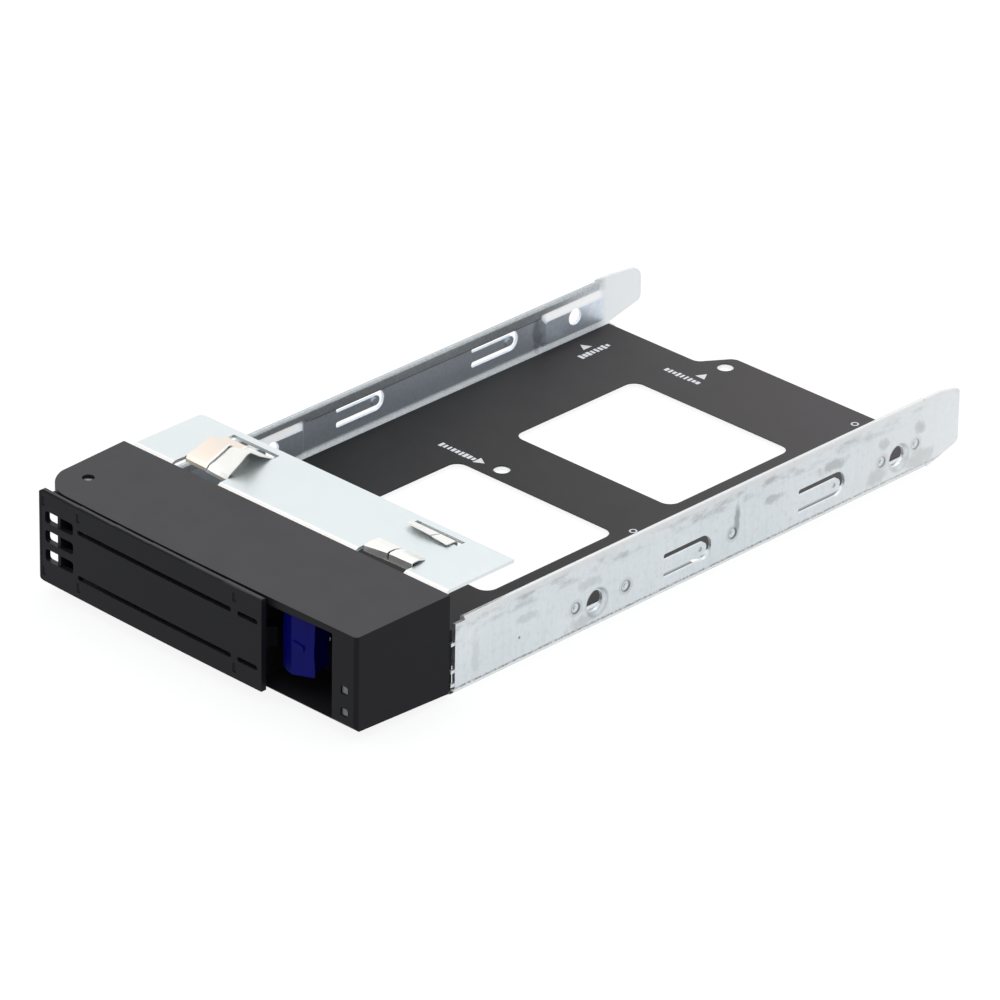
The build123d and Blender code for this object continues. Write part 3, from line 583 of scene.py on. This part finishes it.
# %% The channel's material
CHANNEL_GREYS = ((0.77, 0.81, 0.83, 1), (0.68, 0.735, 0.76, 1))
PAINTED_REAR_LIGHT_GREY = (0.88, 0.9, 0.9, 1)
STRIP_START = 44.7
STRIP_SHADE = (0.16, 0.165, 0.17, 1)
WINDOW_REACH = 27.0
PAINTED_WINDOW_EDGE_LIGHT = (0.97, 0.98, 0.98, 1)


def make_channel_zinc():
    """Zinc of the channel: pale outside on the right, and inside on the left a darker blue grey painted as
    shade.
    """
    material, tree, shader = new_material("galvanised_channel")
    point = in_millimetres(tree)
    x, y, z = split(tree, point)[:3]
    colour, fine = sheet_colour(tree, point, *CHANNEL_GREYS)
    right_wall = wall_marks(tree, point, wall_wear_and_bend_light(tree, point, z, colour))
    # Painted light: the right wall is painted paler towards the rear, where it catches more light.
    right_wall = mix_colour(tree, ramp(tree, y, 110.0, 170.0, 0.0, 0.6), right_wall, PAINTED_REAR_LIGHT_GREY)
    left_wall = left_wall_colour(tree, point, fine)
    faces_right = ramp(tree, surface_direction(tree)[0], -0.3, -0.1)
    on_right = maths(tree, "MULTIPLY", ramp(tree, x, 50.0, 50.3), faces_right)
    on_left = maths(tree, "MULTIPLY", ramp(tree, x, -49.9, -50.3), faces_right)
    colour = mix_colour(tree, on_right, colour, right_wall)
    colour = mix_colour(tree, on_left, colour, left_wall)
    strip = maths(tree, "MULTIPLY", ramp(tree, x, STRIP_START + 0.9, STRIP_START + 2.0),
                  band(tree, z, 0.7, 0.9, 0.05))
    colour = lay(tree, colour, STRIP_SHADE, strip, 0.95)
    # Painted highlight: the windows' cut edges are painted near white, as if they reflected the white floor.
    window_edge_light = maths(tree, "MULTIPLY", band(tree, z, 0.05, 0.75, 0.04),
                        band(tree, x, -WINDOW_REACH, WINDOW_REACH, 1.0))
    colour = mix_colour(tree, window_edge_light, colour, PAINTED_WINDOW_EDGE_LIGHT)
    tree.links.new(colour, shader.inputs["Base Color"])
    tree.links.new(ramp(tree, fine, 0.0, 1.0, 0.34, 0.5), shader.inputs["Roughness"])
    shader.inputs["Metallic"].default_value = STEEL_METALLIC
    return material


channel_zinc = make_channel_zinc()
print("made", channel_zinc.name, "with", len(channel_zinc.node_tree.nodes), "nodes")

# %% [markdown]
# ## Black plastic, film and the blue button
# The bezel and the lever are moulded in black plastic whose mould was finely blasted: matt, with a
# broad soft shine. The button is a smooth, deep blue plastic. One function makes both, because they
# differ only in numbers. The film is a thin sheet, duller and a little lighter, so it has its own.

# %% Plastics and film
MOULDED_BLACK = (0.02, 0.02, 0.0235, 1)
DEEP_BLUE = (0.003, 0.004, 0.2, 1)
FILM_GREYS = ((0.008, 0.009, 0.0095, 1), (0.085, 0.078, 0.08, 1))


def make_plastic(name, colour, roughness, shine, painted_top_shine, grain_size, grain_height, cloud_size):
    """Moulded plastic of a nearly even colour with a fine grain, with a painted sheen that makes its top
    shine more than its sides.
    """
    material, tree, shader = new_material(name)
    point = in_millimetres(tree)
    patches = cloud(tree, point, cloud_size, 0.4)
    clouded = mix_colour(tree, patches, darker(colour, 0.8), colour)
    tree.links.new(clouded, shader.inputs["Base Color"])
    uneven = ramp(tree, patches, 0, 1, roughness - 0.05, roughness + 0.05)
    tree.links.new(uneven, shader.inputs["Roughness"])
    tree.links.new(grain(tree, point, grain_size, grain_height), shader.inputs["Normal"])
    # Painted sheen: faces that look up are given a higher specular level than the sides.
    painted_top_shine_level = ramp(tree, surface_direction(tree)[2], 0.6, 0.95, shine, painted_top_shine)
    tree.links.new(painted_top_shine_level, shader.inputs["Specular IOR Level"])
    return material


def make_film():
    """Thin dull film that is a little paler towards the rear right."""
    material, tree, shader = new_material("dull_black_film")
    point = in_millimetres(tree)
    x, y = split(tree, point)[:2]
    across = maths(tree, "ADD", y, maths(tree, "MULTIPLY", x, 0.8))
    patches = cloud(tree, point, 14.0, 0.4)
    share = maths(tree, "ADD", ramp(tree, across, 20.0, 180.0), ramp(tree, patches, 0, 1, -0.06, 0.06))
    colour = mix_colour(tree, share, *FILM_GREYS)
    tree.links.new(colour, shader.inputs["Base Color"])
    shader.inputs["Roughness"].default_value = 0.5
    shader.inputs["Specular IOR Level"].default_value = 0.16
    tree.links.new(grain(tree, point, 0.5, 0.003), shader.inputs["Normal"])
    return material


black_plastic = make_plastic("moulded_black_plastic", MOULDED_BLACK, roughness=0.45, shine=0.1,
                             painted_top_shine=0.38, grain_size=0.22, grain_height=0.008, cloud_size=8.0)
blue_plastic = make_plastic("deep_blue_plastic", DEEP_BLUE, roughness=0.38, shine=0.1,
                            painted_top_shine=0.3, grain_size=0.4, grain_height=0.003, cloud_size=6.0)
film_plastic = make_film()
print("made", black_plastic.name, film_plastic.name, blue_plastic.name)

# %% [markdown]
# ## Small metal and clear pieces
# The clips are thin spring sheet, brighter and smoother than the zinc. The pin, screws and springs are
# plated. The light pipes are clear plastic rods, milky at their ends where the light comes out: they
# could be plain glass, but then the dark bezel behind them would show, so they scatter a little.

# %% Bright metals and the light pipes
WARM_FINGER = (-40.0, -29.5)
WARM_STEEL = (0.9, 0.8, 0.71, 1)
CLIP_GREYS = ((0.93, 0.925, 0.89, 1), (0.98, 0.975, 0.95, 1))
PLATED_GREY = (0.7, 0.7, 0.69, 1)
PIPE_GREYS = ((0.3, 0.31, 0.33, 1), (0.42, 0.44, 0.47, 1))


def make_bright(name, colour, roughness):
    """Bright smooth metal with faint cloudiness."""
    material, tree, shader = new_material(name)
    patches = cloud(tree, in_millimetres(tree), 3.0, 0.4)
    clouded = mix_colour(tree, patches, darker(colour, 0.85), colour)
    tree.links.new(clouded, shader.inputs["Base Color"])
    uneven = ramp(tree, patches, 0, 1, roughness - 0.06, roughness + 0.06)
    tree.links.new(uneven, shader.inputs["Roughness"])
    shader.inputs["Metallic"].default_value = 1.0
    return material


def make_clip_steel():
    """Thin polished spring sheet, near white, with a warm tint on the left clip's outer finger."""
    material, tree, shader = new_material("clip_steel")
    point = in_millimetres(tree)
    patches = cloud(tree, point, 4.0, 0.4)
    colour = mix_colour(tree, patches, *CLIP_GREYS)
    outer = band(tree, split(tree, point)[0], *WARM_FINGER, 0.1)
    tree.links.new(mix_colour(tree, outer, colour, WARM_STEEL), shader.inputs["Base Color"])
    tree.links.new(ramp(tree, patches, 0, 1, 0.3, 0.38), shader.inputs["Roughness"])
    shader.inputs["Metallic"].default_value = 0.8
    return material


def make_light_pipe():
    """Milky clear plastic that scatters a little light."""
    material, tree, shader = new_material("milky_clear_plastic")
    patches = cloud(tree, in_millimetres(tree), 1.5, 0.4)
    colour = mix_colour(tree, patches, *PIPE_GREYS)
    tree.links.new(colour, shader.inputs["Base Color"])
    shader.inputs["Roughness"].default_value = 0.3
    shader.inputs["Specular IOR Level"].default_value = 0.3
    shader.inputs["Transmission Weight"].default_value = 0.2
    return material


clip_steel = make_clip_steel()
plated_steel = make_bright("plated_steel", PLATED_GREY, roughness=0.3)
milky = make_light_pipe()
print("made", clip_steel.name, plated_steel.name, milky.name)

# %% [markdown]
# ## Dressing the solids
# Each CAD solid keeps its own shape and only receives a finish, because a shape made again here could
# only drift from the drawing. The pin, the screws, the rivets, the springs and the button's retainer
# aren't listed: all of them are plated steel.

# %% Give each solid its finish
FINISHES = {
    "chassis": channel_zinc,
    "front_bracket": plate_zinc,
    "insulation_film": film_plastic,
    "clip_left": clip_steel,
    "clip_right": clip_steel,
    "bezel_housing": black_plastic,
    "lever": black_plastic,
    "release_button": blue_plastic,
    "light_pipe_upper": milky,
    "light_pipe_lower": milky,
}
for name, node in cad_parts.items():
    finish = FINISHES.get(name, plated_steel)
    node.data.materials.clear()
    node.data.materials.append(finish)
print("dressed", len(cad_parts), "solids")

# %% [markdown]
# ## A lip and a rib
# Behind the bezel's right edge a thin black lip closes the gap in front of the channel's right wall,
# so the small tabs there stand before something dark. Behind the lever's vents an upright rib parts
# each of them in two, and it moves with the lever. Both are flat strips that nothing bears on, so a
# plain box does for each.

# %% Lip behind the bezel and rib behind the vents
LIP = ((50.75, 51.65), (0.06, 1.5), (1.5, 16.5))
RIB = ((-41.4, -40.5), (-29.55, -25.0), (5.0, 22.0))


def make_box(name, spans, material):
    """A plain box from its spans in millimetres, with y counted from the bezel's rear."""
    mesh = bpy.data.meshes.new(name)
    work = bmesh.new()
    bmesh.ops.create_cube(work, size=1.0)
    middle = Vector([(low + high) / 2 for low, high in spans]) - Vector((0, BEZEL_REAR, 0))
    size = [high - low for low, high in spans]
    for vertex in work.verts:
        vertex.co = (Vector([c * d for c, d in zip(vertex.co, size)]) + middle) * MM
    work.to_mesh(mesh)
    work.free()
    mesh.materials.append(material)
    return new_object(name, mesh)


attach(make_box("bezel_lip", LIP, black_plastic), "base")
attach(make_box("lever_rib", RIB, black_plastic), "lever_body")
print("added bezel_lip and lever_rib")

# %% [markdown]
# ## The button's spring
# The spring sits between the button and the wall behind it, so it shortens as the button is pressed.
# A solid can't shorten, so a copy of it stands in for it. The solid is loose triangles, and its copy
# has them joined first.

# %% A joined copy of the spring
JOIN_WITHIN = 1e-7


def merged_copy(name, node):
    """A copy of a solid's mesh, in place, with its loose triangles joined."""
    mesh = node.data.copy()
    mesh.name = name
    mesh.transform(node.matrix_world)
    work = bmesh.new()
    work.from_mesh(mesh)
    bmesh.ops.remove_doubles(work, verts=work.verts, dist=JOIN_WITHIN)
    work.to_mesh(mesh)
    work.free()
    return new_object(name, mesh)


coil = merged_copy("button_spring_coil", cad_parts["button_spring"])
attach(coil, "base")
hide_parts("button_spring")
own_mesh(coil)

# %% [markdown]
# ## Print on the film
# The film carries three small white marks by its screw holes: an arrowhead that points to a hole, with
# a short row beside it. They could be a pattern in the film's material, but as thin solids they stay
# sharp and can be placed exactly. One geometry node group makes a mark from an arrowhead and a row of
# bars whose sizes vary with a seed, and is used three times. A second one makes the two small rings
# close to the right wall.

# %% Sizes and places of the print
FILM_TOP = 1.0
PRINT_HEIGHT = 0.02
ARROW_SIZE = 1.7
BAR_LENGTH = 2.0
BAR_WIDTH = 0.95
NARROWEST_BAR = (0.6, 0.55, 1.0)
WIDEST_BAR = (1.1, 1.0, 1.0)
RING_RADIUS = 0.8
RING_LINE = 0.2
PRINT_WHITES = ((0.85, 0.86, 0.88, 1), (0.95, 0.95, 0.96, 1))
# Name, the arrowhead's place and turn, the row's start and turn, its bars and the step between them
PRINT_MARKS = [
    ("film_mark_middle", (-21.7, 85.7), 0, (-23.4, 85.5), 180, 9, 1.3),
    ("film_mark_rear", (-15.6, 155.4), 90, (-14.0, 152.1), 180, 9, 1.25),
    ("film_mark_left", (-45.9, 146.9), 180, (-42.8, 151.4), -90, 8, 1.3),
]
PRINT_RINGS = [("film_ring_front", (27.3, 85.8)), ("film_ring_rear", (26.5, 162.8))]
print(len(PRINT_MARKS), "marks and", len(PRINT_RINGS), "rings to print")

# %% [markdown]
# A geometry group starts from named inputs and ends in a mesh. Instances are made real, because a
# plain mesh is wanted, and the last node gives it its material.

# %% Groups that make a mark and a ring


def new_geometry_group(name, inputs):
    """An empty geometry group that makes a mesh from named inputs, with its two end nodes."""
    tree = bpy.data.node_groups.new(name, "GeometryNodeTree")
    for label, kind in inputs:
        tree.interface.new_socket(label, in_out="INPUT", socket_type=kind)
    tree.interface.new_socket("Geometry", in_out="OUTPUT", socket_type="NodeSocketGeometry")
    start = tree.nodes.new("NodeGroupInput")
    end = tree.nodes.new("NodeGroupOutput")
    return tree, start.outputs, end


def paint(tree, geometry, material, end):
    """Gives a geometry its material and ends the group with it."""
    inputs = {"Geometry": geometry, "Material": material}
    painted = add(tree, "GeometryNodeSetMaterial", inputs)
    tree.links.new(painted.outputs[0], end.inputs[0])


def make_mark_group():
    """An arrowhead and a row of flat bars beside it."""
    tree, given, end = new_geometry_group("printed_mark", [
        ("Arrow Place", "NodeSocketVector"), ("Arrow Turn", "NodeSocketVector"),
        ("Arrow Size", "NodeSocketFloat"), ("Row Start", "NodeSocketVector"),
        ("Row Step", "NodeSocketVector"), ("Row Turn", "NodeSocketVector"), ("Bars", "NodeSocketInt"),
        ("Bar Length", "NodeSocketFloat"), ("Bar Width", "NodeSocketFloat"),
        ("Thickness", "NodeSocketFloat"), ("Seed", "NodeSocketInt"), ("Material", "NodeSocketMaterial")])
    inputs = {"Vertices": 3, "Radius": given["Arrow Size"], "Depth": given["Thickness"]}
    arrow = add(tree, "GeometryNodeMeshCylinder", inputs).outputs[0]
    inputs = {"Geometry": arrow, "Translation": given["Arrow Place"], "Rotation": given["Arrow Turn"]}
    arrow = add(tree, "GeometryNodeTransform", inputs).outputs[0]
    inputs = {"Count": given["Bars"], "Start Location": given["Row Start"], "Offset": given["Row Step"]}
    row = add(tree, "GeometryNodeMeshLine", inputs, mode="OFFSET").outputs[0]
    inputs = {0: given["Bar Width"], 1: given["Bar Length"], 2: given["Thickness"]}
    size = add(tree, "ShaderNodeCombineXYZ", inputs).outputs[0]
    bar = add(tree, "GeometryNodeMeshCube", {"Size": size}).outputs[0]
    inputs = {"Seed": given["Seed"], 0: NARROWEST_BAR, 1: WIDEST_BAR}
    width = add(tree, "FunctionNodeRandomValue", inputs, data_type="FLOAT_VECTOR").outputs[0]
    inputs = {"Points": row, "Instance": bar, "Rotation": given["Row Turn"], "Scale": width}
    bars = add(tree, "GeometryNodeInstanceOnPoints", inputs).outputs[0]
    solid = add(tree, "GeometryNodeRealizeInstances", {0: bars}).outputs[0]
    joined = tree.nodes.new("GeometryNodeJoinGeometry")
    tree.links.new(arrow, joined.inputs[0])
    tree.links.new(solid, joined.inputs[0])
    paint(tree, joined.outputs[0], given["Material"], end)
    return tree


def make_ring_group():
    """A flat ring: a circle given a narrow width."""
    tree, given, end = new_geometry_group("printed_ring", [
        ("Place", "NodeSocketVector"), ("Radius", "NodeSocketFloat"), ("Line", "NodeSocketFloat"),
        ("Material", "NodeSocketMaterial")])
    inputs = {"Resolution": 24, "Radius": given["Radius"]}
    circle = add(tree, "GeometryNodeCurvePrimitiveCircle", inputs).outputs[0]
    inputs = {"Resolution": 8, "Radius": given["Line"]}
    across = add(tree, "GeometryNodeCurvePrimitiveCircle", inputs).outputs[0]
    inputs = {"Curve": circle, "Profile Curve": across}
    thick = add(tree, "GeometryNodeCurveToMesh", inputs).outputs[0]
    inputs = {"Geometry": thick, "Translation": given["Place"], "Scale": (1.0, 1.0, 0.1)}
    flat = add(tree, "GeometryNodeTransform", inputs).outputs[0]
    paint(tree, flat, given["Material"], end)
    return tree


mark_group = make_mark_group()
ring_mesh_group = make_ring_group()
print("made", mark_group.name, ring_mesh_group.name)

# %% [markdown]
# A modifier on an empty object runs a group. Its inputs are set by each socket's identifier, and the
# result is kept as a plain mesh on an object of its own.

# %% Print the marks and rings


def grown(name, group, values):
    """A plain mesh object from a geometry group and its named values."""
    shell = new_object(name + "_source", bpy.data.meshes.new(name + "_source"))
    modifier = shell.modifiers.new("grow", "NODES")
    modifier.node_group = group
    for item in group.interface.items_tree:
        if item.in_out == "INPUT":
            modifier[item.identifier] = values[item.name]
    bpy.context.view_layer.update()
    evaluated = shell.evaluated_get(bpy.context.evaluated_depsgraph_get())
    mesh = bpy.data.meshes.new_from_object(evaluated)
    mesh.name = name
    bpy.data.objects.remove(shell)
    return new_object(name, mesh)


def on_film(place):
    """A point on top of the film, in metres, from its x and its distance behind the bezel."""
    return Vector((place[0], place[1] - BEZEL_REAR, FILM_TOP + PRINT_HEIGHT / 2)) * MM


def make_white_print():
    """White print on the film, slightly uneven."""
    material, tree, shader = new_material("white_print")
    patches = cloud(tree, in_millimetres(tree), 0.7, 0.4)
    colour = mix_colour(tree, patches, *PRINT_WHITES)
    tree.links.new(colour, shader.inputs["Base Color"])
    shader.inputs["Roughness"].default_value = 0.6
    return material


white_print = make_white_print()
for number, (name, arrow, arrow_turn, row, row_turn, bars, step) in enumerate(PRINT_MARKS):
    heading = math.radians(row_turn)
    piece = grown(name, mark_group, {
        "Arrow Place": on_film(arrow), "Arrow Turn": (0, 0, math.radians(arrow_turn)),
        "Arrow Size": ARROW_SIZE * MM, "Row Start": on_film(row), "Row Turn": (0, 0, heading),
        "Row Step": Vector((math.cos(heading), math.sin(heading), 0)) * step * MM, "Bars": bars,
        "Bar Length": BAR_LENGTH * MM, "Bar Width": BAR_WIDTH * MM, "Thickness": PRINT_HEIGHT * MM,
        "Seed": number, "Material": white_print})
    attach(piece, "base")
for name, place in PRINT_RINGS:
    piece = grown(name, ring_mesh_group, {
        "Place": on_film(place), "Radius": RING_RADIUS * MM, "Line": RING_LINE * MM,
        "Material": white_print})
    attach(piece, "base")
print("printed", len(PRINT_MARKS), "marks and", len(PRINT_RINGS), "rings")

# %% [markdown]
# ## The studio
# A white floor and a white world surround the tray. Lamps strong enough to turn a grey floor white
# would bleach the steel as well, so the camera and mirror-like reflections see both as pure white,
# while the light that falls on the tray stays at a plain level. The floor still darkens under the
# tray, which keeps its soft shadow.

# %% Floor and world
FLOOR_HALF = 3.0
FLOOR_DROP = 0.0001
FLOOR_GREY = (0.2, 0.2, 0.2, 1)
FLOOR_GLOW = 0.88
WORLD_LIGHT = (0.93, 0.96, 1.0, 1)
WORLD_STRENGTH = 0.66


def seen_rays(tree):
    """1 for rays that show a surface: from the camera, off a gloss or through a clear piece."""
    path = add(tree, "ShaderNodeLightPath")
    seen = maths(tree, "MAXIMUM", path.outputs["Is Camera Ray"], path.outputs["Is Glossy Ray"])
    return maths(tree, "MAXIMUM", seen, path.outputs["Is Transmission Ray"])


def make_floor():
    """A wide floor that the camera sees as white, with the tray's shadow left on it."""
    mesh = bpy.data.meshes.new("floor")
    corners = [(x * FLOOR_HALF, y * FLOOR_HALF, -FLOOR_DROP) for x, y in ((-1, -1), (1, -1), (1, 1), (-1, 1))]
    mesh.from_pydata(corners, [], [(0, 1, 2, 3)])
    floor = new_object("floor", mesh)
    material, tree, shader = new_material("white_floor")
    shader.inputs["Base Color"].default_value = FLOOR_GREY
    shader.inputs["Roughness"].default_value = 0.9
    shader.inputs["Specular IOR Level"].default_value = 0.0
    glow = add(tree, "ShaderNodeEmission", {"Color": (1, 1, 1, 1), "Strength": FLOOR_GLOW}).outputs[0]
    nothing = add(tree, "ShaderNodeEmission", {"Color": (0, 0, 0, 1), "Strength": 0.0}).outputs[0]
    chosen = add(tree, "ShaderNodeMixShader", {0: seen_rays(tree), 1: nothing, 2: glow}).outputs[0]
    both = add(tree, "ShaderNodeAddShader", {0: shader.outputs[0], 1: chosen}).outputs[0]
    output = [n for n in tree.nodes if n.bl_idname == "ShaderNodeOutputMaterial"][0]
    tree.links.new(both, output.inputs["Surface"])
    mesh.materials.append(material)
    return floor


def make_world():
    """White where it is seen, and a plain pale grey where it lights the tray."""
    world = bpy.data.worlds.new("studio")
    bpy.context.scene.world = world
    world.use_nodes = True
    tree = world.node_tree
    tree.nodes.clear()
    white = add(tree, "ShaderNodeBackground", {"Color": (1, 1, 1, 1), "Strength": 1.0}).outputs[0]
    dim = add(tree, "ShaderNodeBackground", {"Color": WORLD_LIGHT, "Strength": WORLD_STRENGTH}).outputs[0]
    chosen = add(tree, "ShaderNodeMixShader", {0: seen_rays(tree), 1: dim, 2: white}).outputs[0]
    add(tree, "ShaderNodeOutputWorld", {"Surface": chosen})
    return world


floor = make_floor()
world = make_world()
print("made", floor.name, "and", world.name)

# %% [markdown]
# Two large square lamps give the soft light: a strong one above, slightly behind, lights the plate and
# the bezel's top, and a weak one at the front left lifts the lever's face out of the dark.

# %% Lamps
# Name, place in metres, width in metres and power in watts
LAMPS = [("above", (-0.3, 0.3, 1.2), 0.9, 3.5), ("front_left", (-0.9, -0.9, 0.9), 0.6, 1.0)]


def make_lamp(name, place, width, power):
    """A soft square lamp at a place, turned towards the tray."""
    data = bpy.data.lights.new(name, "AREA")
    data.size = width
    data.energy = power
    lamp = new_object(name, data)
    lamp.location = place
    lamp.rotation_mode = "QUATERNION"
    lamp.rotation_quaternion = (-Vector(place)).to_track_quat("-Z", "Y")
    return lamp


for name, place, width, power in LAMPS:
    make_lamp(name, place, width, power)
bpy.context.scene.view_settings.view_transform = "Standard"
print("studio ready")
